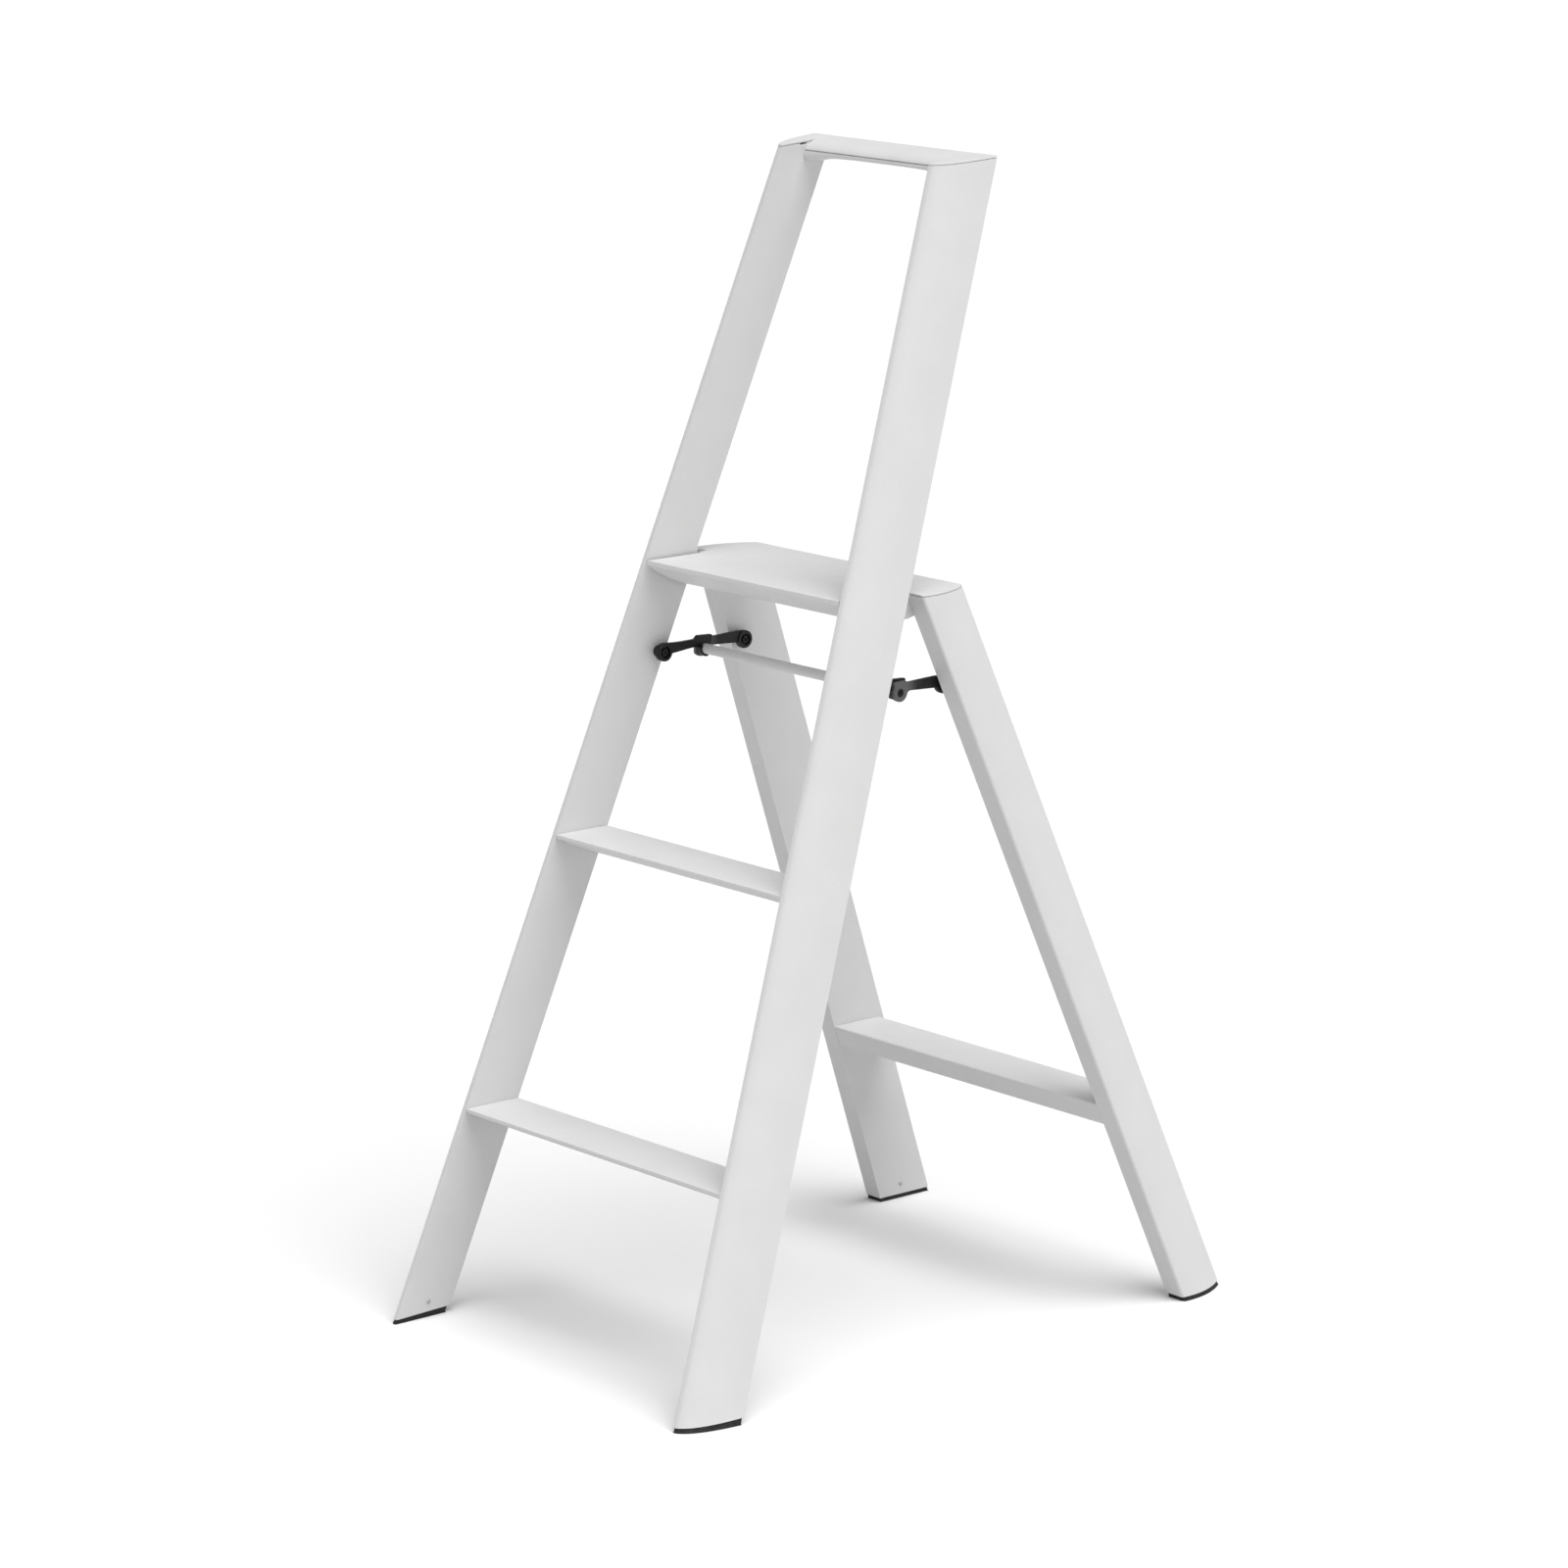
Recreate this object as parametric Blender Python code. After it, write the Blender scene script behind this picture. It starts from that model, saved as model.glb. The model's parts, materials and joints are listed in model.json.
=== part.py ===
"""Folding stepladder with a hand rail.

Two hollow front stiles carry two treads and a grab handle. A platform fixed to two hollow rear
legs hinges between the stiles, and a pair of folding stays, joined by a release bar, keeps the
rear frame open. Metres, with +Z up, +Y to the rear and +X to the climber's right. The origin is
on the floor, in the middle of the open ladder's footprint.
"""

import math

import bmesh
import bpy
from mathutils import Vector

# Sections of the extrusions
WALL = 0.0015
GAP = 0.0003
CURVE_STEPS = 14
STILE_DEPTH = 0.0673
STILE_EDGE = 0.0046
STILE_THICK = 0.0282
LEG_DEPTH = 0.0725
LEG_THICK = 0.0250
LEG_CORNER = 0.0032
LEG_EDGE = 0.0042

# Front stiles: inner faces converge upwards, and the front edges lean to the rear
STILE_FRONT_Y = -0.37865
STILE_LEAN = 0.359
STILE_HALF = 0.2281
STILE_TAPER = 0.0940
STILE_TOP = 1.2185
STILE_TOP_RISE = 0.0050
LIP_WIDTH = 0.0030
LIP_PROUD = 0.0024
LIP_TOP = 0.797

# Rear legs: inner faces converge upwards, and the front faces lean forward
LEG_FRONT_Y = 0.30615
LEG_LEAN = 0.397
LEG_HALF = 0.2303
LEG_TAPER = 0.0929

# Treads, platform and brace, by the height of their tops
LOWER_TREAD_TOP = 0.2252
MIDDLE_TREAD_TOP = 0.5096
TREAD_DEPTH = 0.0681
TREAD_EDGE = 0.0040
TREAD_THICK = 0.0280
PLATFORM_TOP = 0.7926
PLATFORM_DEPTH = 0.1580
PLATFORM_EDGE = 0.0050
PLATFORM_THICK = 0.0325
PLATFORM_HALF = 0.1503
PLATFORM_END = 0.0120
END_STEP_Y = -0.0206
END_LUG = 0.0276
BRACE_TOP = 0.2248
BRACE_HEIGHT = 0.0242
BRACE_DEPTH = 0.0670
BRACE_CORNER = 0.0030

# Feet and top plates
FOOT_FRONT = 0.0045
FOOT_RISE = 0.0024
FOOT_PROUD = 0.0010
PLUG_HEIGHT = 0.0220
CAP = 0.0020
CAP_SEAM = 0.0006

# Handle: rearwards from the stiles' front edges and down from their tops, and a slot under each cap
HANDLE_FRONT = 0.0345
HANDLE_NOSE = 0.0175
HANDLE_SHOULDER = HANDLE_FRONT + HANDLE_NOSE
HANDLE_ROLL = 0.0099
HANDLE_GROOVE = 0.0026
HANDLE_STEPS = 8
HANDLE_MIDDLE = 0.50
SLOT_START = 0.0255
SLOT_END = 0.0345
SLOT_HEIGHT = 0.0024
SLOT_REACH = 0.0090

# Screws: rearwards from a front edge and down from a top, except the platform's and the handle's
TREAD_SCREW = (0.0400, 0.0120)
BRACE_SCREW = (0.0340, 0.0120)
HANDLE_SCREW_V = 0.0560
HANDLE_SCREW_Z = 1.2040
PLATFORM_SCREW = (0.0200, 0.7790)
SCREW_R = 0.0025
SCREW_BORE_R = 0.0028
SCREW_HEAD_R = 0.0045
SCREW_LENGTH = 0.0135
SCREW_BORE_DEPTH = 0.0130
BLOCK_LENGTH = 0.0160
FOOT_SCREW_Z = 0.0173
FRONT_FOOT_SCREW_V = 0.0363
REAR_FOOT_SCREW_V = 0.0344
FOOT_SCREW_R = 0.0014
FOOT_SCREW_BORE_R = 0.0017

# Fold hinge, and the pivots of the stays: y and z
HINGE = (-0.0462, 0.7760)
FRONT_PIVOT = (-0.0715, 0.6920)
MIDDLE_PIVOT = (-0.0172, 0.6895)
REAR_PIVOT = (0.0423, 0.6910)
HINGE_PIN_R = 0.0040
HINGE_BORE_R = 0.0043
WASHER_GAP = 0.0012

# Stays, by their distance from the middle of the ladder
FRONT_ARM_X = (0.1507, 0.1551)
REAR_ARM_X = (0.1555, 0.1594)
BOSS_R = 0.0097
BOSS_PROUD = 0.0020
ARM_FILLET = 0.0045
ARM_SHOULDER = 0.0120
CRADLE_WIDTH = 0.0034
RIVET_R = 0.0030
RIVET_BORE_R = 0.0033
BAR_R = 0.0055
BAR_WALL = 0.0012
PIN_R = 0.0035
PIN_BORE_R = 0.0038
CAP_PIN_R = 0.0041
CAP_BORE_R = 0.0044

WHITE = "white_coat"
CAST = "cast_white"
RUBBER = "sole_rubber"
BLACK = "black_coat"
GRAPHITE = "graphite_coat"
STEEL = "fastener_steel"
NYLON = "bush_nylon"
COLOURS = {
    WHITE: ((0.80, 0.80, 0.80), 0.42, 0.0),
    CAST: ((0.79, 0.79, 0.79), 0.48, 0.0),
    RUBBER: ((0.012, 0.012, 0.012), 0.75, 0.0),
    BLACK: ((0.012, 0.012, 0.013), 0.45, 0.0),
    GRAPHITE: ((0.040, 0.040, 0.042), 0.45, 0.0),
    STEEL: ((0.55, 0.55, 0.56), 0.30, 1.0),
    NYLON: ((0.05, 0.05, 0.05), 0.55, 0.0),
}
SIDES = (("left", -1), ("right", 1))


def clear_scene():
    for obj in list(bpy.data.objects):
        bpy.data.objects.remove(obj)


def make_materials():
    made = {}
    for name, (colour, roughness, metallic) in COLOURS.items():
        material = bpy.data.materials.new(name)
        material.use_nodes = True
        shader = material.node_tree.nodes["Principled BSDF"]
        shader.inputs["Base Color"].default_value = (*colour, 1.0)
        shader.inputs["Roughness"].default_value = roughness
        shader.inputs["Metallic"].default_value = metallic
        made[name] = material
    return made


# Outlines: closed lists of points in a section's own two directions


def curve(start, pull, end, steps=CURVE_STEPS):
    """Points of the quadratic curve from start to end that bends towards pull."""
    points = []
    for i in range(steps + 1):
        t = i / steps
        points.append(tuple((1 - t) ** 2 * a + 2 * t * (1 - t) * b + t * t * c
                            for a, b, c in zip(start, pull, end)))
    return points


def arc(centre, radius, start, end, steps):
    """Points round centre, from the start angle to the end angle in degrees."""
    points = []
    for i in range(steps + 1):
        angle = math.radians(start + (end - start) * i / steps)
        points.append((centre[0] + radius * math.cos(angle), centre[1] + radius * math.sin(angle)))
    return points


def inset(outline, distance):
    """The outline with each edge moved inwards by distance, point for point."""
    count = len(outline)
    area = sum(Vector(outline[i - 1]).cross(Vector(outline[i])) for i in range(count))
    turn = math.copysign(distance, area)
    moved = []
    for i, point in enumerate(outline):
        here = Vector(point)
        before = (here - Vector(outline[i - 1])).normalized()
        after = (Vector(outline[(i + 1) % count]) - here).normalized()
        normals = Vector((-before.y, before.x)), Vector((-after.y, after.x))
        miter = (normals[0] + normals[1]) / (1 + normals[0].dot(normals[1]))
        moved.append(tuple(here + miter * turn))
    return moved


def stile_outline():
    """Outwards from the flat inner face, and rearwards from the thin front edge."""
    outer = curve((STILE_EDGE, 0), (0.0240, 0.0110), (STILE_THICK, STILE_DEPTH))
    return [(0, 0)] + outer + [(0, STILE_DEPTH)]


def leg_outline():
    """Outwards from the flat inner face, and rearwards from the flat front face."""
    corner = arc((LEG_THICK - LEG_CORNER, LEG_CORNER), LEG_CORNER, -90, 0, 4)
    outer = curve(corner[-1], (0.0274, 0.0400), (LEG_EDGE, LEG_DEPTH))
    return [(0, 0)] + corner + outer[1:] + [(0, LEG_DEPTH)]


def tread_outline():
    """Rearwards from the front edge, and down from the flat top."""
    under = curve((0, TREAD_EDGE), (0.0380, 0.0250), (TREAD_DEPTH, TREAD_THICK))
    return [(0, 0)] + under + [(TREAD_DEPTH, 0)]


def platform_outline():
    """A flat-topped lens: rearwards from the front edge, and down from the top."""
    front = curve((0, PLATFORM_EDGE), (0.0320, 0.0285), (0.0620, PLATFORM_THICK), 10)
    rear = curve(front[-1], (0.1120, 0.0240), (PLATFORM_DEPTH, PLATFORM_EDGE), 12)
    return [(0, 0)] + front + rear[1:] + [(PLATFORM_DEPTH, 0)]


def brace_outline():
    """A box with small round corners: rearwards from the front face, and down from the top."""
    near, far = BRACE_CORNER, BRACE_DEPTH - BRACE_CORNER
    low = BRACE_HEIGHT - BRACE_CORNER
    return (arc((near, near), BRACE_CORNER, 270, 180, 3) + arc((near, low), BRACE_CORNER, 180, 90, 3)
            + arc((far, low), BRACE_CORNER, 90, 0, 3) + arc((far, near), BRACE_CORNER, 0, -90, 3))


def handle_outline(grip):
    """Rearwards from the stile's front edge, and down: a round nose over a groove, and a belly under it.

    The belly's depth is scaled by grip.
    """
    points = []
    for v, down in arc((0, 0), 1, 90, 180, 10):
        points.append((HANDLE_SHOULDER + HANDLE_NOSE * v, HANDLE_ROLL - HANDLE_ROLL * down))
    groove = HANDLE_FRONT + HANDLE_GROOVE
    start = HANDLE_ROLL + 0.0014
    points += [(groove, HANDLE_ROLL + 0.0001), (groove, start - 0.0002)]
    strip = curve((HANDLE_FRONT + 0.0002, 0), (HANDLE_FRONT, 0.0082), (0.0420, 0.0107), 5)
    belly = curve(strip[-1], (0.0540, 0.0147), (0.0640, 0.0145), 5)
    under = strip + belly[1:] + [(0.0665, 0.0127), (0.0670, 0.0102)]
    points += [(v, start + down * grip) for v, down in under]
    return points + [(0.0670, 0.0012), (0.0660, 0)]


# Places: a point of a section, at a height or a distance along, in the ladder's own frame


def stile_half(z):
    return STILE_HALF - STILE_TAPER * z


def leg_half(z):
    return LEG_HALF - LEG_TAPER * z


def on_stile(side, u, v, z):
    return Vector((side * (stile_half(z) + u), STILE_FRONT_Y + STILE_LEAN * z + v, z))


def on_leg(side, u, v, z):
    return Vector((side * (leg_half(z) + u), LEG_FRONT_Y - LEG_LEAN * z + v, z))


def stile_top(v):
    return STILE_TOP + STILE_TOP_RISE * v / STILE_DEPTH


def foot_top(v):
    return FOOT_FRONT + FOOT_RISE * v / STILE_DEPTH


def rear_foot_top(v):
    return FOOT_FRONT


def leg_top(v):
    return PLATFORM_TOP


# Meshes


def skin(rings, closed=False, bm=None):
    """A solid through equally long rings: closed joins the last to the first, else the ends are capped."""
    bm = bm or bmesh.new()
    loops = [[bm.verts.new(point) for point in ring] for ring in rings]
    pairs = list(zip(loops, loops[1:]))
    if closed:
        pairs.append((loops[-1], loops[0]))
    else:
        bm.faces.new(loops[0])
        bm.faces.new(loops[-1])
    for one, other in pairs:
        for i in range(len(one)):
            bm.faces.new((one[i - 1], one[i], other[i], other[i - 1]))
    bmesh.ops.recalc_face_normals(bm, faces=bm.faces)
    return bm


def hollow(outline, place, start, end, wall=WALL):
    """An open tube of this outline: place(a, b, s) gives a point, and start and end give s."""
    inner = inset(outline, wall)
    rings = [[place(a, b, start(b)) for a, b in outline], [place(a, b, end(b)) for a, b in outline],
             [place(a, b, end(b)) for a, b in inner], [place(a, b, start(b)) for a, b in inner]]
    return skin(rings, closed=True)


def circle(x, y, z, radius, count):
    return [Vector((x, *point)) for point in arc((y, z), radius, 0, 360, count)[:-1]]


def turned(side, pivot, profile, closed=False, count=20, bm=None):
    """A round piece about the X axis through pivot, from (distance from the middle, radius) pairs."""
    return skin([circle(side * x, *pivot, radius, count) for x, radius in profile], closed, bm)


def rods(side, holes):
    """Cutters along X: one rod for each (pivot, radius, inner x, outer x)."""
    bm = bmesh.new()
    for pivot, radius, inner, outer in holes:
        turned(side, pivot, [(inner, radius), (outer, radius)], bm=bm)
    return bm


def plate(side, outline, inner, outer, bm=None):
    """An outline of (y, z) points made solid between two distances from the middle."""
    return skin([[Vector((side * x, y, z)) for y, z in outline] for x in (inner, outer)], bm=bm)


class Body:
    """Pieces that move together, placed from one empty on the joint's axis."""

    def __init__(self, name, pivot, materials, parent=None):
        self.origin = Vector((0, *pivot))
        self.materials = materials
        self.empty = bpy.data.objects.new(name, None)
        bpy.context.scene.collection.objects.link(self.empty)
        self.empty.location = self.origin
        if parent:
            self.empty.parent = parent.empty
            self.empty.location = self.origin - parent.origin

    def place(self, name, bm, origin):
        """A mesh object, with its own origin at a point of the ladder's frame."""
        bmesh.ops.translate(bm, verts=bm.verts, vec=-origin)
        mesh = bpy.data.meshes.new(name)
        bm.to_mesh(mesh)
        bm.free()
        mesh.shade_smooth()
        mesh.set_sharp_from_angle(angle=math.radians(32))
        obj = bpy.data.objects.new(name, mesh)
        bpy.context.scene.collection.objects.link(obj)
        obj.parent = self.empty
        obj.location = origin - self.origin
        return obj

    def add(self, name, bm, material, origin=None, cutter=None, joined=None):
        """A piece of the ladder, less a cutter and with a joined shape, both given as meshes."""
        at = origin or self.origin
        obj = self.place(name, bm, at)
        obj.data.materials.append(self.materials[material])
        if joined:
            self.combine(obj, joined, "UNION", at)
        if cutter:
            self.combine(obj, cutter, "DIFFERENCE", at)
        return obj

    def combine(self, obj, bm, operation, at):
        """Joins a mesh to a piece, or cuts it away, with a hidden helper."""
        helper = self.place(f"{obj.name}_{operation.lower()}", bm, at)
        helper.hide_render = True
        helper.display_type = "WIRE"
        modifier = obj.modifiers.new(operation.title(), "BOOLEAN")
        modifier.operation = operation
        modifier.solver = "EXACT"
        modifier.object = helper


# Front frame


def tread_screw_pivots():
    """The screw through each stile into each tread: its y and z."""
    pivots = []
    for top in (LOWER_TREAD_TOP, MIDDLE_TREAD_TOP):
        pivots.append((STILE_FRONT_Y + STILE_LEAN * top + TREAD_SCREW[0], top - TREAD_SCREW[1]))
    return pivots


def handle_screw_pivot():
    return (STILE_FRONT_Y + STILE_LEAN * HANDLE_SCREW_Z + HANDLE_SCREW_V, HANDLE_SCREW_Z)


def foot_screw_pivot(place, v):
    return tuple(place(1, 0, v, FOOT_SCREW_Z).yz)


def cap_slot(side, reach, bm=None):
    """A cutter for the slot between a stile's cap and the handle, this far outwards from the inner face."""
    slot = [(-0.002, SLOT_START), (reach, SLOT_START), (reach, SLOT_END), (-0.002, SLOT_END)]
    levels = (CAP + SLOT_HEIGHT, CAP)
    return skin([[on_stile(side, u, v, stile_top(v) - down) for u, v in slot] for down in levels], bm=bm)


def make_stile(body, side_name, side):
    shape = hollow(stile_outline(), lambda u, v, z: on_stile(side, u, v, z),
                   lambda v: foot_top(v) + GAP, lambda v: stile_top(v) - CAP - CAP_SEAM)
    lip = [(0.0002, STILE_DEPTH - 0.001), (LIP_WIDTH, STILE_DEPTH - 0.001),
           (LIP_WIDTH, STILE_DEPTH + LIP_PROUD), (0.0002, STILE_DEPTH + LIP_PROUD)]
    lip_ends = (foot_top(STILE_DEPTH) + 0.001, LIP_TOP)
    lip_rings = [[on_stile(side, u, v, z) for u, v in lip] for z in lip_ends]
    through = [(pivot, SCREW_BORE_R) for pivot in tread_screw_pivots() + [handle_screw_pivot()]]
    through += [(FRONT_PIVOT, RIVET_BORE_R), (HINGE, HINGE_BORE_R),
                (foot_screw_pivot(on_stile, FRONT_FOOT_SCREW_V), FOOT_SCREW_BORE_R)]
    holes = [(pivot, r, stile_half(pivot[1]) - 0.004, stile_half(pivot[1]) + 0.004) for pivot, r in through]
    cutter = cap_slot(side, 0.003, rods(side, holes))
    origin = on_stile(side, 0, 0, 0)
    body.add(f"stile_{side_name}", shape, WHITE, origin, cutter, skin(lip_rings))


def make_foot(body, name, side, place, outline, pad_top, screw_v):
    """A sole pad with a chamfered bottom edge and a plug that fills the tube above it."""
    sole = inset(outline, -FOOT_PROUD)
    plug = inset(outline, WALL + GAP)
    levels = [(inset(outline, 0.0002), lambda v: 0.0), (sole, lambda v: 0.0012), (sole, pad_top),
              (plug, pad_top), (plug, lambda v: pad_top(v) + PLUG_HEIGHT)]
    rings = [[place(side, u, v, level(v)) for u, v in points] for points, level in levels]
    pivot = foot_screw_pivot(place, screw_v)
    half = abs(place(1, 0, 0, FOOT_SCREW_Z).x)
    bore = rods(side, [(pivot, FOOT_SCREW_BORE_R, half - 0.002, half + 0.0105)])
    body.add(f"{name}_foot", skin(rings), RUBBER, place(side, 0, 0, 0), bore)
    screw = [(half - 0.0016, 0.0014), (half - 0.0008, 0.0024), (half - 0.0004, 0.0024),
             (half - 0.0004, FOOT_SCREW_R), (half + 0.0095, FOOT_SCREW_R)]
    origin = Vector((side * half, *pivot))
    body.add(f"{name}_foot_screw", turned(side, pivot, screw, count=16), STEEL, origin)


def make_top_plate(body, name, side, place, outline, top, cutter=None):
    """A thin plate that closes the top of a tube, with a shallow plug inside it."""
    plug = inset(outline, WALL + GAP)
    levels = [(plug, 0.0080), (plug, CAP), (outline, CAP), (outline, 0.0003), (inset(outline, 0.0003), 0)]
    rings = [[place(side, u, v, top(v) - down) for u, v in points] for points, down in levels]
    body.add(name, skin(rings), CAST, place(side, 0, 0, top(0)), cutter)


def make_tread(body, name, top):
    """A hollow tread between the stiles, with a solid block and a screw at each end."""
    front = STILE_FRONT_Y + STILE_LEAN * top
    outline = tread_outline()

    def point(v, down, side, inwards):
        return Vector((side * (stile_half(top - down) - GAP - inwards), front + v, top - down))

    inner = inset(outline, WALL)
    rings = [[point(v, down, side, 0) for v, down in points]
             for points, side in ((outline, -1), (outline, 1), (inner, 1), (inner, -1))]
    origin = Vector((0, front, top))
    body.add(name, skin(rings, closed=True), WHITE, origin)
    block = inset(outline, WALL + GAP)
    pivot = (front + TREAD_SCREW[0], top - TREAD_SCREW[1])
    half = stile_half(pivot[1])
    for side_name, side in SIDES:
        ends = [[point(v, down, side, inwards) for v, down in block] for inwards in (0, BLOCK_LENGTH)]
        bore = rods(side, [(pivot, SCREW_BORE_R, half - SCREW_BORE_DEPTH, half + 0.002)])
        body.add(f"{name}_end_{side_name}", skin(ends), CAST, Vector((side * half, *pivot)), bore)
        make_screw(body, f"{name}_screw_{side_name}", side, pivot, half + WALL)


def make_screw(body, name, side, pivot, seat):
    """A screw seated on the inside of a tube wall at this distance from the middle, pointing inwards."""
    under = seat + 0.0008
    profile = [(seat - SCREW_LENGTH, SCREW_R), (under, SCREW_R), (under, SCREW_HEAD_R),
               (under + 0.0024, SCREW_HEAD_R), (under + 0.0030, SCREW_HEAD_R - 0.0008)]
    body.add(name, turned(side, pivot, profile, count=16), STEEL, Vector((side * seat, *pivot)))


def make_handle(body):
    """A grab bar between the stiles' tops, whose belly deepens towards both ends."""
    rings = []
    for step in range(-HANDLE_STEPS, HANDLE_STEPS + 1):
        along = step / HANDLE_STEPS
        grip = HANDLE_MIDDLE + (1 - HANDLE_MIDDLE) * along ** 4
        ring = []
        for v, down in handle_outline(grip):
            z = stile_top(v) - down
            point = on_stile(1, 0, v, z)
            ring.append(Vector((along * (point.x - GAP), point.y, z)))
        rings.append(ring)
    pivot = handle_screw_pivot()
    half = stile_half(pivot[1])
    bores = bmesh.new()
    for _, side in SIDES:
        turned(side, pivot, [(half - SCREW_BORE_DEPTH, SCREW_BORE_R), (half + 0.002, SCREW_BORE_R)], bm=bores)
    body.add("handle_bar", skin(rings), CAST, Vector((0, pivot[0], stile_top(0))), bores)
    for side_name, side in SIDES:
        make_screw(body, f"handle_screw_{side_name}", side, pivot, half + WALL)


def make_hinge_pin(body, side_name, side):
    """The headed pin from inside a stile to the platform's end, and the washer between them."""
    half = stile_half(HINGE[1])
    seat = half + WALL + 0.0010
    pin = [(PLATFORM_HALF - PLATFORM_END + 0.0015, HINGE_PIN_R - 0.0006),
           (PLATFORM_HALF - PLATFORM_END + 0.0021, HINGE_PIN_R), (seat, HINGE_PIN_R),
           (seat, 0.0070), (seat + 0.0030, 0.0070), (seat + 0.0036, 0.0062)]
    at = Vector((side * half, *HINGE))
    body.add(f"hinge_pin_{side_name}", turned(side, HINGE, pin), STEEL, at)
    faces = (PLATFORM_HALF + GAP, half - WASHER_GAP)
    washer = [(faces[0], HINGE_BORE_R), (faces[0], 0.0088), (faces[1], 0.0088), (faces[1], HINGE_BORE_R)]
    body.add(f"hinge_washer_{side_name}", turned(side, HINGE, washer, closed=True), NYLON, at)


def make_front_frame(materials):
    body = Body("front_frame", (0, 0), materials)
    for side_name, side in SIDES:
        make_stile(body, side_name, side)
        make_foot(body, f"front_{side_name}", side, on_stile, stile_outline(), foot_top, FRONT_FOOT_SCREW_V)
        make_top_plate(body, f"stile_cap_{side_name}", side, on_stile, stile_outline(), stile_top,
                       cap_slot(side, SLOT_REACH))
        make_hinge_pin(body, side_name, side)
        make_pivot_rivet(body, f"front_stay_{side_name}", side, FRONT_PIVOT, FRONT_ARM_X,
                         stile_half(FRONT_PIVOT[1]))
    make_tread(body, "lower_tread", LOWER_TREAD_TOP)
    make_tread(body, "middle_tread", MIDDLE_TREAD_TOP)
    make_handle(body)
    return body


# Rear frame


def brace_screw_pivot():
    z = BRACE_TOP - BRACE_SCREW[1]
    return (LEG_FRONT_Y - LEG_LEAN * z + BRACE_SCREW[0], z)


def make_leg(body, side_name, side):
    shape = hollow(leg_outline(), lambda u, v, z: on_leg(side, u, v, z),
                   lambda v: rear_foot_top(v) + GAP, lambda v: PLATFORM_TOP - CAP - CAP_SEAM)
    through = [(pivot, SCREW_BORE_R) for pivot in (PLATFORM_SCREW, brace_screw_pivot())]
    through += [(REAR_PIVOT, RIVET_BORE_R),
                (foot_screw_pivot(on_leg, REAR_FOOT_SCREW_V), FOOT_SCREW_BORE_R)]
    holes = [(pivot, r, leg_half(pivot[1]) - 0.004, leg_half(pivot[1]) + 0.004) for pivot, r in through]
    body.add(f"rear_leg_{side_name}", shape, WHITE, on_leg(side, 0, 0, 0), rods(side, holes))


def platform_point(x, v, down):
    front = STILE_FRONT_Y + STILE_LEAN * PLATFORM_TOP
    return Vector((x, front + v, PLATFORM_TOP - down))


def make_platform(body):
    """A hollow lens-shaped deck, and a cast end at each side that joins it to a leg."""
    outline = platform_outline()
    inner = inset(outline, WALL)
    deck = PLATFORM_HALF - PLATFORM_END - GAP
    rings = [[platform_point(x, v, down) for v, down in points]
             for points, x in ((outline, -deck), (outline, deck), (inner, deck), (inner, -deck))]
    body.add("platform_deck", skin(rings, closed=True), WHITE, platform_point(0, 0, 0))
    for side_name, side in SIDES:
        make_platform_end(body, outline, side_name, side)


def step_outline(side, z):
    """At one height, all that lies outside a platform end: its step behind the stile and its leg face."""
    leg = leg_half(z) - GAP
    stepped = ((leg, 0.15), (leg, END_STEP_Y), (PLATFORM_HALF, END_STEP_Y), (PLATFORM_HALF, -0.15),
               (0.2, -0.15), (0.2, 0.15))
    return [Vector((side * x, y, z)) for x, y in stepped]


def make_platform_end(body, outline, side_name, side):
    """The end casting: narrow between the stiles, and wide behind them, up to the leg's inner face."""
    inner = PLATFORM_HALF - PLATFORM_END
    outer = 0.175
    shape = skin([[platform_point(side * x, v, down) for v, down in outline] for x in (inner, outer)])
    cutter = skin([step_outline(side, z) for z in (PLATFORM_TOP - 0.05, PLATFORM_TOP + 0.01)])
    at = platform_point(side * inner, 0, 0)
    obj = body.add(f"platform_end_{side_name}", shape, CAST, at, cutter)
    half = leg_half(PLATFORM_SCREW[1])
    bores = [(HINGE, HINGE_BORE_R, inner - 0.002, PLATFORM_HALF + 0.002),
             (PLATFORM_SCREW, SCREW_BORE_R, half - SCREW_BORE_DEPTH, half + 0.002)]
    under = PLATFORM_TOP - END_LUG
    below = [(-0.15, under - 0.05), (0.15, under - 0.05), (0.15, under), (-0.15, under)]
    cuts = plate(side, below, PLATFORM_HALF, 0.21, bm=rods(side, bores))
    body.combine(obj, cuts, "DIFFERENCE", at)
    make_screw(body, f"platform_screw_{side_name}", side, PLATFORM_SCREW, half + WALL)


def make_brace(body):
    """A hollow box between the legs, flush with their front faces, with a block in each end."""
    outline = brace_outline()

    def point(v, down, side, inwards):
        z = BRACE_TOP - down
        return Vector((side * (leg_half(z) - GAP - inwards), LEG_FRONT_Y - LEG_LEAN * z + v, z))

    inner = inset(outline, WALL)
    rings = [[point(v, down, side, 0) for v, down in points]
             for points, side in ((outline, -1), (outline, 1), (inner, 1), (inner, -1))]
    body.add("rear_brace", skin(rings, closed=True), WHITE, point(0, 0, 0, 0))
    block = inset(outline, WALL + GAP)
    pivot = brace_screw_pivot()
    half = leg_half(pivot[1])
    for side_name, side in SIDES:
        ends = [[point(v, down, side, inwards) for v, down in block] for inwards in (0, BLOCK_LENGTH)]
        bore = rods(side, [(pivot, SCREW_BORE_R, half - SCREW_BORE_DEPTH, half + 0.002)])
        body.add(f"rear_brace_end_{side_name}", skin(ends), CAST, Vector((side * half, *pivot)), bore)
        make_screw(body, f"rear_brace_screw_{side_name}", side, pivot, half + WALL)


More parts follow.
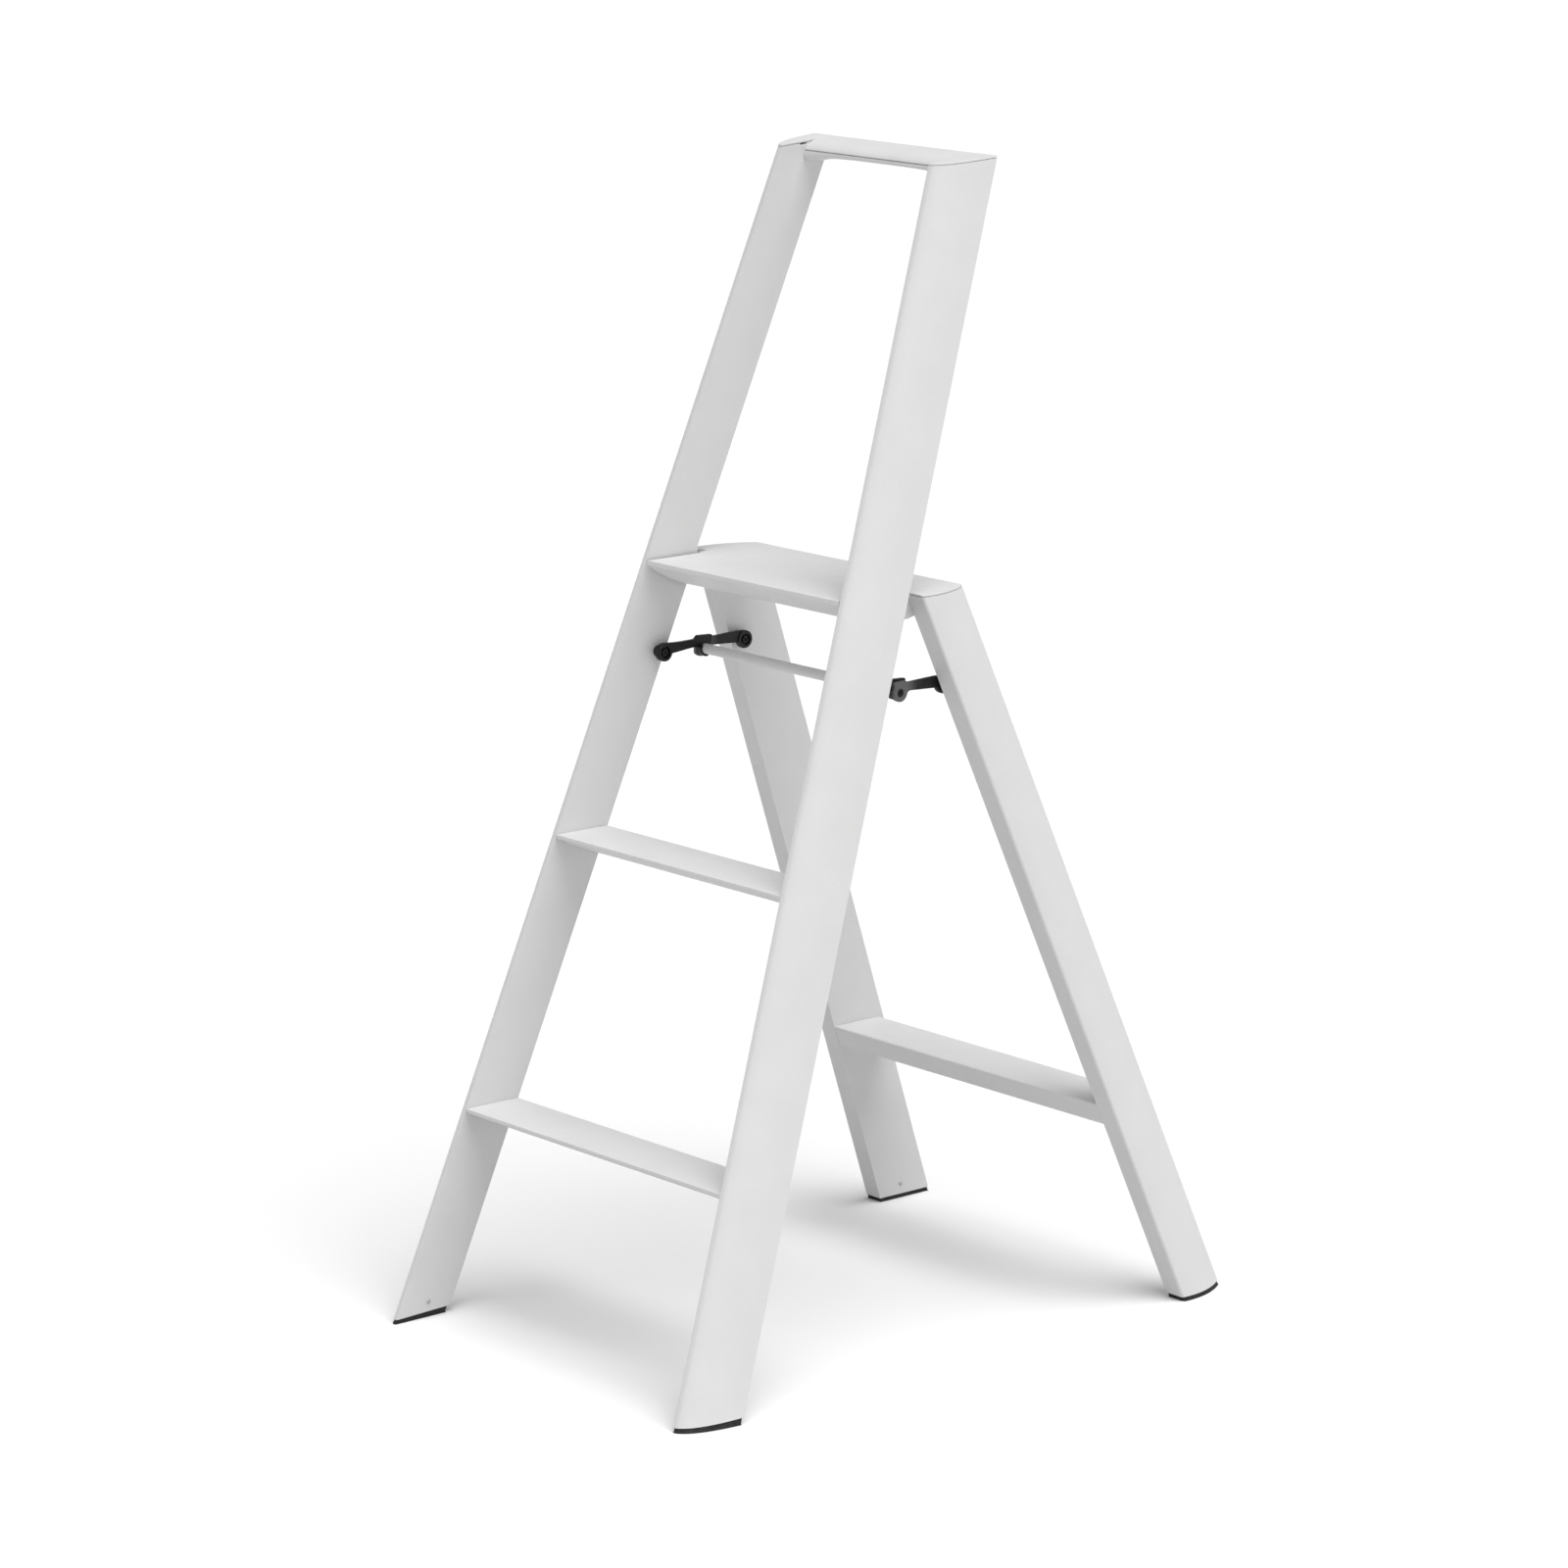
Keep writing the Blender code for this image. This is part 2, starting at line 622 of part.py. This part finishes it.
def make_rear_frame(materials):
    body = Body("fold_axis", HINGE, materials)
    for side_name, side in SIDES:
        make_leg(body, side_name, side)
        make_foot(body, f"rear_{side_name}", side, on_leg, leg_outline(), rear_foot_top, REAR_FOOT_SCREW_V)
        make_top_plate(body, f"leg_cap_{side_name}", side, on_leg, leg_outline(), leg_top)
        make_pivot_rivet(body, f"rear_stay_{side_name}", side, REAR_PIVOT, REAR_ARM_X,
                         leg_half(REAR_PIVOT[1]))
    make_platform(body)
    make_brace(body)
    return body


# Stays


def arm_outline(pivot, middle, eye, block, bar):
    """A stay arm: a round boss at pivot, a bar above the pivots' line, and a blocky eye at middle.

    eye is the eye's radius, and the angles where it leaves the bar and meets the block's end. block
    is how far the eye's block reaches back along the bar, beyond the eye and up. bar is the height
    of the bar's underside and top at the eye, and of its top at the boss.
    """
    length = math.hypot(middle[0] - pivot[0], middle[1] - pivot[1])
    radius, leave, meet = eye
    back, front, top = block
    low, high, shoulder = bar
    round_eye = arc((length, 0), radius, leave, meet, 9)
    points = arc((0, 0), BOSS_R, 82, 348, 20)
    points += curve((length - radius - ARM_FILLET, low), (length - radius - 0.0005, low), round_eye[0], 4)
    points += round_eye[1:]
    points += [(length + front, top - 0.0010), (length + front - 0.0010, top),
               (length - back + 0.0010, top), (length - back, top - 0.0008),
               (length - back - 0.0020, high + 0.0006), (length - back - 0.0050, high),
               (BOSS_R + ARM_SHOULDER, shoulder), (BOSS_R, shoulder)]
    along = Vector((middle[0] - pivot[0], middle[1] - pivot[1])).normalized()
    up = Vector((-along.y, along.x))
    if up.y < 0:
        up = -up
    return [tuple(Vector(pivot) + along * s + up * h) for s, h in points]


def make_pivot_rivet(body, name, side, pivot, arm_x, face):
    """The rivet of a stay, from the recess in its boss into a tube's wall, and the spacer between them."""
    recess = arm_x[0] - BOSS_PROUD + 0.0032
    nut = face + WALL + 0.0010
    head = 0.0041
    rivet = [(recess - 0.0010, 0.0016), (recess - 0.0026, 0.0016), (recess - 0.0028, head - 0.0006),
             (recess - 0.0022, head), (recess - 0.0002, head), (recess - 0.0002, RIVET_R), (nut, RIVET_R),
             (nut, 0.0053), (nut + 0.0024, 0.0053), (nut + 0.0030, 0.0045)]
    at = Vector((side * face, *pivot))
    body.add(f"{name}_rivet", turned(side, pivot, rivet), BLACK, at)
    faces = (arm_x[1] + GAP, face - WASHER_GAP)
    spacer = [(faces[0], RIVET_BORE_R), (faces[0], 0.0064), (faces[1], 0.0064), (faces[1], RIVET_BORE_R)]
    body.add(f"{name}_spacer", turned(side, pivot, spacer, closed=True), NYLON, at)


def boss(side, pivot, arm_x):
    """The raised cup round a rivet's head, on an arm's inner face."""
    face = arm_x[0] - BOSS_PROUD
    profile = [(arm_x[0] + 0.0015, BOSS_R - 0.0002), (face + 0.0006, BOSS_R - 0.0002),
               (face, BOSS_R - 0.0008)]
    return turned(side, pivot, profile, count=32)


def boss_bore(side, pivot, arm_x, bm=None):
    """The recess for a rivet's head, and the bore behind it."""
    recess = arm_x[0] - BOSS_PROUD + 0.0032
    profile = [(arm_x[0] - 0.008, 0.0064), (recess, 0.0064), (recess, RIVET_BORE_R),
               (arm_x[1] + 0.002, RIVET_BORE_R)]
    return turned(side, pivot, profile, count=32, bm=bm)


def cradle(side, bm=None):
    """The hook that carries the release bar's end, round its front and underside."""
    outer = arc(MIDDLE_PIVOT, BAR_R + 0.0026, 140, 290, 12)
    inner = arc(MIDDLE_PIVOT, BAR_R + 0.0004, 296, 140, 12)
    return plate(side, outer + inner, FRONT_ARM_X[0] - CRADLE_WIDTH, FRONT_ARM_X[0] + 0.0015, bm)


def make_front_stay(materials):
    """The front arms, the release bar between them, and the pins that hold the bar's ends."""
    body = Body("front_stay_axis", FRONT_PIVOT, materials)
    outline = arm_outline(FRONT_PIVOT, MIDDLE_PIVOT, (0.0080, 165, 335), (0.0100, 0.0100, 0.0143),
                          (0.0026, 0.0104, 0.0094))
    for side_name, side in SIDES:
        cutter = boss_bore(side, FRONT_PIVOT, FRONT_ARM_X)
        bore = [(FRONT_ARM_X[0] - 0.002, PIN_BORE_R), (FRONT_ARM_X[1] + 0.002, PIN_BORE_R)]
        turned(side, MIDDLE_PIVOT, bore, bm=cutter)
        joined = boss(side, FRONT_PIVOT, FRONT_ARM_X)
        cradle(side, joined)
        body.add(f"front_arm_{side_name}", plate(side, outline, *FRONT_ARM_X), BLACK, None, cutter, joined)
        pin = [(FRONT_ARM_X[0] - 0.0140, PIN_R - 0.0006), (FRONT_ARM_X[0] - 0.0134, PIN_R),
               (FRONT_ARM_X[1] - 0.0002, PIN_R)]
        body.add(f"bar_pin_{side_name}", turned(side, MIDDLE_PIVOT, pin), STEEL, Vector((0, *MIDDLE_PIVOT)))
    end = FRONT_ARM_X[0] - GAP
    inner = BAR_R - BAR_WALL
    bar = [(-end, inner), (-end, BAR_R - 0.0003), (-end + 0.0003, BAR_R), (end - 0.0003, BAR_R),
           (end, BAR_R - 0.0003), (end, inner)]
    shape = turned(1, MIDDLE_PIVOT, bar, closed=True, count=32)
    body.add("release_bar", shape, WHITE, Vector((0, *MIDDLE_PIVOT)))
    return body


def make_rear_stay(materials, rear_frame):
    """The rear arms, with the capped eye that meets each front arm."""
    body = Body("rear_stay_axis", REAR_PIVOT, materials, rear_frame)
    outline = arm_outline(REAR_PIVOT, MIDDLE_PIVOT, (0.0092, 198, 328), (0.0085, 0.0080, 0.0118),
                          (0.0008, 0.0098, 0.0102))
    for side_name, side in SIDES:
        cutter = boss_bore(side, REAR_PIVOT, REAR_ARM_X)
        bore = [(REAR_ARM_X[0] - 0.002, CAP_BORE_R), (REAR_ARM_X[1] + 0.002, CAP_BORE_R)]
        turned(side, MIDDLE_PIVOT, bore, bm=cutter)
        body.add(f"rear_arm_{side_name}", plate(side, outline, *REAR_ARM_X), GRAPHITE, None, cutter,
                 boss(side, REAR_PIVOT, REAR_ARM_X))
        cap = [(REAR_ARM_X[0] + 0.0002, CAP_PIN_R), (REAR_ARM_X[1] - 0.0012, CAP_PIN_R),
               (REAR_ARM_X[1] - 0.0006, CAP_PIN_R - 0.0006), (REAR_ARM_X[1] - 0.0006, 0.0022),
               (REAR_ARM_X[1] - 0.0022, 0.0018)]
        body.add(f"eye_cap_{side_name}", turned(side, MIDDLE_PIVOT, cap), BLACK, Vector((0, *MIDDLE_PIVOT)))
    return body


def main():
    clear_scene()
    materials = make_materials()
    make_front_frame(materials)
    rear_frame = make_rear_frame(materials)
    make_front_stay(materials)
    make_rear_stay(materials, rear_frame)


main()
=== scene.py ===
"""The folding stepladder's finish, floor, light and camera.

Every node is shown by a rounded copy of itself: satin white extrusions and castings, black stays,
rubber soles, nylon spacers and plated screws. Metres, in the ladder's own frame.
"""

import json
import math

import bmesh
import bpy
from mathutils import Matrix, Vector


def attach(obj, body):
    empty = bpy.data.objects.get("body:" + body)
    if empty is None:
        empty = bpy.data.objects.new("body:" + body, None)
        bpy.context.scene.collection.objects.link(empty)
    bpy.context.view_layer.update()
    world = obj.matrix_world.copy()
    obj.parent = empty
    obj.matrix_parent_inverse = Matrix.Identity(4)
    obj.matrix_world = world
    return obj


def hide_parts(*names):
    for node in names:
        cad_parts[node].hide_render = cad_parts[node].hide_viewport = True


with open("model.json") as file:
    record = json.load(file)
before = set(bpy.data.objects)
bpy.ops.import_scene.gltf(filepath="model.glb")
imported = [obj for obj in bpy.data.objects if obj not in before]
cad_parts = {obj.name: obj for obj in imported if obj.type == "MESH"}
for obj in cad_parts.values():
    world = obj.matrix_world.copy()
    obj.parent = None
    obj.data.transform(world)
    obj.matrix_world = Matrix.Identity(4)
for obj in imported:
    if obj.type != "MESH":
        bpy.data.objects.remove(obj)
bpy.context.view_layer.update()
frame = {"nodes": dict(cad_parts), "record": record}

# Camera
SENSOR = 0.036
LENS = 0.1326
CAMERA_AZIMUTH = math.radians(49.32)
CAMERA_ELEVATION = math.radians(12.54)
CAMERA_DISTANCE = 5.993
CAMERA_TARGET = Vector((0, -0.0362, 0.5710))

# Floor: its tones where it is seen, and where it only throws light back at the ladder
FLOOR_HALF = 40.0
FLOOR_DROP = 0.0002
FLOOR_SEEN = (0.93, 0.93, 0.93)
FLOOR_LIGHT = (0.67, 0.67, 0.67)
FLOOR_DARK = (0.65, 0.65, 0.65)

# Light: azimuth from +X towards +Y, elevation, strength and width in degrees, and the sky's two tones
KEY = (-8, 66, 2.6, 50)
HORIZON = (0.86, 0.86, 0.86)
SKY = (0.36, 0.36, 0.36)

# Edge rounding, by material slot
EDGE = {
    "white_coat": 0.0005,
    "cast_white": 0.0004,
    "sole_rubber": 0.0006,
    "black_coat": 0.0004,
    "graphite_coat": 0.0004,
    "bush_nylon": 0.0003,
    "fastener_steel": 0.0002,
}
EDGE_SEGMENTS = 3
MERGE = 0.000005
FLAT = math.radians(0.3)
SHARP = math.radians(33)

# How far along a rear arm, from its front end, the painted light on the eye end starts to darken and ends
EYE_LIGHT_SPAN = (0.22, 0.40)


def new_material(name):
    """A new material, its node tree and its Principled shader."""
    material = bpy.data.materials.new(name)
    material.use_nodes = True
    tree = material.node_tree
    return material, tree, tree.nodes["Principled BSDF"]


def noise(tree, scale, detail=3.0, stretch=(1, 1, 1), roughness=0.5):
    """Noise over the object's own coordinates, as a factor output."""
    coords = tree.nodes.new("ShaderNodeTexCoord")
    mapping = tree.nodes.new("ShaderNodeMapping")
    mapping.inputs["Scale"].default_value = stretch
    texture = tree.nodes.new("ShaderNodeTexNoise")
    texture.inputs["Scale"].default_value = scale
    texture.inputs["Detail"].default_value = detail
    texture.inputs["Roughness"].default_value = roughness
    tree.links.new(coords.outputs["Object"], mapping.inputs["Vector"])
    tree.links.new(mapping.outputs["Vector"], texture.inputs["Vector"])
    return texture.outputs["Fac"]


def spread(tree, factor, low, high, start=0.3, end=0.7):
    """The factor's range from start to end, mapped to low to high."""
    node = tree.nodes.new("ShaderNodeMapRange")
    for socket, value in (("From Min", start), ("From Max", end), ("To Min", low), ("To Max", high)):
        node.inputs[socket].default_value = value
    tree.links.new(factor, node.inputs["Value"])
    return node.outputs["Result"]


def blend(tree, factor, one, other):
    """A colour between two colours."""
    node = tree.nodes.new("ShaderNodeMix")
    node.data_type = "RGBA"
    for socket, value in ((6, one), (7, other)):
        if isinstance(value, tuple):
            node.inputs[socket].default_value = (*value, 1.0)
        else:
            tree.links.new(value, node.inputs[socket])
    tree.links.new(factor, node.inputs[0])
    return node.outputs[2]


def bump(tree, height, distance, strength=1.0, normal=None):
    """A normal from a height, in metres of relief."""
    node = tree.nodes.new("ShaderNodeBump")
    node.inputs["Strength"].default_value = strength
    node.inputs["Distance"].default_value = distance
    tree.links.new(height, node.inputs["Height"])
    if normal:
        tree.links.new(normal, node.inputs["Normal"])
    return node.outputs["Normal"]


def coat(name, light, dark, roughness, peel_scale, peel):
    """Satin paint: faint clouding in its tone, an uneven gloss, and the fine relief of a sprayed coat."""
    material, tree, shader = new_material(name)
    clouds = spread(tree, noise(tree, 22, 4.0), 0, 1)
    specks = spread(tree, noise(tree, 700, 2.0), 0, 1, 0.66, 0.76)
    tone = blend(tree, clouds, light, dark)
    tone = blend(tree, specks, tone, tuple(0.86 * value for value in dark))
    tree.links.new(tone, shader.inputs["Base Color"])
    gloss = spread(tree, noise(tree, 60, 5.0), roughness - 0.06, roughness + 0.06)
    tree.links.new(gloss, shader.inputs["Roughness"])
    grain = bump(tree, noise(tree, peel_scale, 2.0), peel)
    tree.links.new(bump(tree, noise(tree, 240, 2.0), peel * 0.6, normal=grain), shader.inputs["Normal"])
    shader.inputs["Specular IOR Level"].default_value = 0.45
    return material


def rubber(name):
    """Black moulded rubber with a fine matt grain and a little dust."""
    material, tree, shader = new_material(name)
    dust = spread(tree, noise(tree, 160, 5.0), 0, 1, 0.45, 0.8)
    tone = blend(tree, dust, (0.010, 0.010, 0.011), (0.030, 0.030, 0.030))
    tree.links.new(tone, shader.inputs["Base Color"])
    gloss = spread(tree, noise(tree, 300, 3.0), 0.62, 0.80)
    tree.links.new(gloss, shader.inputs["Roughness"])
    tree.links.new(bump(tree, noise(tree, 1500, 3.0), 0.00004), shader.inputs["Normal"])
    return material


def black_paint(name, dark, light, roughness, grain, painted_eye_light=None):
    """Satin black over steel or nylon, with a fine grain and slightly polished patches.

    The optional greyer tone on the end nearest the ladder's front is painted light: the lit face of the eye,
    with the bar beyond it in shade.
    """
    material, tree, shader = new_material(name)
    clouds = spread(tree, noise(tree, 180, 4.0), 0, 1)
    tone = blend(tree, clouds, dark, light)
    # Painted light: the end nearest the ladder's front is greyer for the light on the eye's face, fading
    # into the darker bar
    if painted_eye_light:
        coords = tree.nodes.new("ShaderNodeTexCoord")
        split = tree.nodes.new("ShaderNodeSeparateXYZ")
        tree.links.new(coords.outputs["Generated"], split.inputs["Vector"])
        tone = blend(tree, spread(tree, split.outputs["Y"], 0, 1, *EYE_LIGHT_SPAN), painted_eye_light, tone)
    tree.links.new(tone, shader.inputs["Base Color"])
    gloss = spread(tree, noise(tree, 420, 4.0), roughness - 0.08, roughness + 0.08)
    tree.links.new(gloss, shader.inputs["Roughness"])
    tree.links.new(bump(tree, noise(tree, 1300, 3.0), grain), shader.inputs["Normal"])
    shader.inputs["Specular IOR Level"].default_value = 0.30
    return material


def steel(name):
    """Zinc-plated steel with turned marks round the X axis."""
    material, tree, shader = new_material(name)
    shader.inputs["Metallic"].default_value = 1.0
    clouds = spread(tree, noise(tree, 500, 4.0), 0, 1)
    tone = blend(tree, clouds, (0.50, 0.50, 0.49), (0.62, 0.62, 0.61))
    tree.links.new(tone, shader.inputs["Base Color"])
    marks = noise(tree, 900, 3.0, (6, 1, 1))
    tree.links.new(spread(tree, marks, 0.24, 0.40), shader.inputs["Roughness"])
    tree.links.new(bump(tree, marks, 0.00003), shader.inputs["Normal"])
    return material


def make_materials():
    """A material for each slot of the record."""
    return {
        "white_coat": coat("white_coat", (0.735, 0.735, 0.733), (0.712, 0.712, 0.710), 0.42, 1100, 0.00003),
        "cast_white": coat("cast_white", (0.738, 0.738, 0.736), (0.706, 0.706, 0.704), 0.48, 800, 0.00005),
        "sole_rubber": rubber("sole_rubber"),
        "black_coat": black_paint("black_coat", (0.005, 0.005, 0.005), (0.010, 0.010, 0.011), 0.34, 0.00003),
        # The graphite coat's greyer eye tone (0.120) is painted light on the rear arms' lit eye ends
        "graphite_coat": black_paint("graphite_coat", (0.012, 0.012, 0.012), (0.020, 0.020, 0.021), 0.40,
                                     0.00003, (0.120, 0.120, 0.120)),
        "bush_nylon": black_paint("bush_nylon", (0.008, 0.008, 0.008), (0.014, 0.014, 0.014), 0.55, 0.00003),
        "fastener_steel": steel("fastener_steel"),
    }


def rounded(node, width):
    """A CAD node's mesh with its flat faces joined, its edges rounded and its curves shaded smooth."""
    bm = bmesh.new()
    bm.from_mesh(frame["nodes"][node].data)
    bmesh.ops.remove_doubles(bm, verts=bm.verts, dist=MERGE)
    bmesh.ops.dissolve_limit(bm, angle_limit=FLAT, verts=bm.verts, edges=bm.edges)
    corners = [edge for edge in bm.edges if edge.is_manifold and edge.calc_face_angle() > SHARP]
    bmesh.ops.bevel(bm, geom=corners, offset=width, segments=EDGE_SEGMENTS, profile=0.5,
                    affect="EDGES", clamp_overlap=True)
    mesh = bpy.data.meshes.new(f"{node}_finish")
    bm.to_mesh(mesh)
    bm.free()
    mesh.materials.clear()
    mesh.shade_smooth()
    piece = bpy.data.objects.new(f"{node}_finish", mesh)
    bpy.context.scene.collection.objects.link(piece)
    normals = piece.modifiers.new("Normals", "WEIGHTED_NORMAL")
    normals.weight = 100
    normals.keep_sharp = True
    return piece


def dress(materials):
    """Gives every node its finish: a rounded piece in its place."""
    bodies = frame["record"]["behaviour"]["bodies"]
    body_of = {node: body for body, nodes in bodies.items() for node in nodes}
    for part in frame["record"]["subparts"]:
        node, slot = part["node"], part["material_slot"]
        piece = rounded(node, EDGE[slot])
        piece.data.materials.append(materials[slot])
        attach(piece, body_of[node])
        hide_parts(node)


def make_floor():
    """A wide pale sheet, a shade darker in the light it throws back than where it is seen."""
    bm = bmesh.new()
    bmesh.ops.create_grid(bm, x_segments=1, y_segments=1, size=FLOOR_HALF)
    mesh = bpy.data.meshes.new("floor")
    bm.to_mesh(mesh)
    bm.free()
    floor = bpy.data.objects.new("floor", mesh)
    bpy.context.scene.collection.objects.link(floor)
    floor.location.z = -FLOOR_DROP
    material, tree, shader = new_material("floor_paper")
    paper = blend(tree, spread(tree, noise(tree, 3.0), 0, 1), FLOOR_LIGHT, FLOOR_DARK)
    seen = tree.nodes.new("ShaderNodeLightPath").outputs["Is Camera Ray"]
    tree.links.new(blend(tree, seen, paper, FLOOR_SEEN), shader.inputs["Base Color"])
    shader.inputs["Roughness"].default_value = 0.9
    shader.inputs["Specular IOR Level"].default_value = 0.0
    floor.data.materials.append(material)


def make_sun(name, azimuth, elevation, strength, width):
    """Soft light from one direction."""
    light = bpy.data.lights.new(name, "SUN")
    light.energy = strength
    light.angle = math.radians(width)
    lamp = bpy.data.objects.new(name, light)
    bpy.context.scene.collection.objects.link(lamp)
    flat, up = math.radians(azimuth), math.radians(elevation)
    towards = Vector((math.cos(flat) * math.cos(up), math.sin(flat) * math.cos(up), math.sin(up)))
    lamp.rotation_euler = towards.to_track_quat("Z", "Y").to_euler()


def make_world():
    """A dim sky with a pale band along the horizon."""
    world = bpy.data.worlds.new("studio")
    world.use_nodes = True
    tree = world.node_tree
    coords = tree.nodes.new("ShaderNodeTexCoord")
    split = tree.nodes.new("ShaderNodeSeparateXYZ")
    tree.links.new(coords.outputs["Generated"], split.inputs["Vector"])
    height = spread(tree, split.outputs["Z"], 0, 1, 0.10, 0.28)
    tree.links.new(blend(tree, height, HORIZON, SKY), tree.nodes["Background"].inputs["Color"])
    bpy.context.scene.world = world


def make_camera():
    """A long lens, from in front of the ladder and to its right."""
    camera = bpy.data.cameras.new("camera")
    camera.sensor_width = SENSOR * 1000
    camera.lens = LENS * 1000
    camera.clip_end = 200.0
    eye = bpy.data.objects.new("camera", camera)
    bpy.context.scene.collection.objects.link(eye)
    level = math.cos(CAMERA_ELEVATION)
    back = Vector((math.sin(CAMERA_AZIMUTH) * level, -math.cos(CAMERA_AZIMUTH) * level,
                   math.sin(CAMERA_ELEVATION)))
    eye.location = CAMERA_TARGET + back * CAMERA_DISTANCE
    eye.rotation_euler = back.to_track_quat("Z", "Y").to_euler()
    bpy.context.scene.camera = eye


make_camera()
make_world()
make_floor()
make_sun("key", *KEY)
bpy.context.scene.view_settings.view_transform = "Standard"
dress(make_materials())
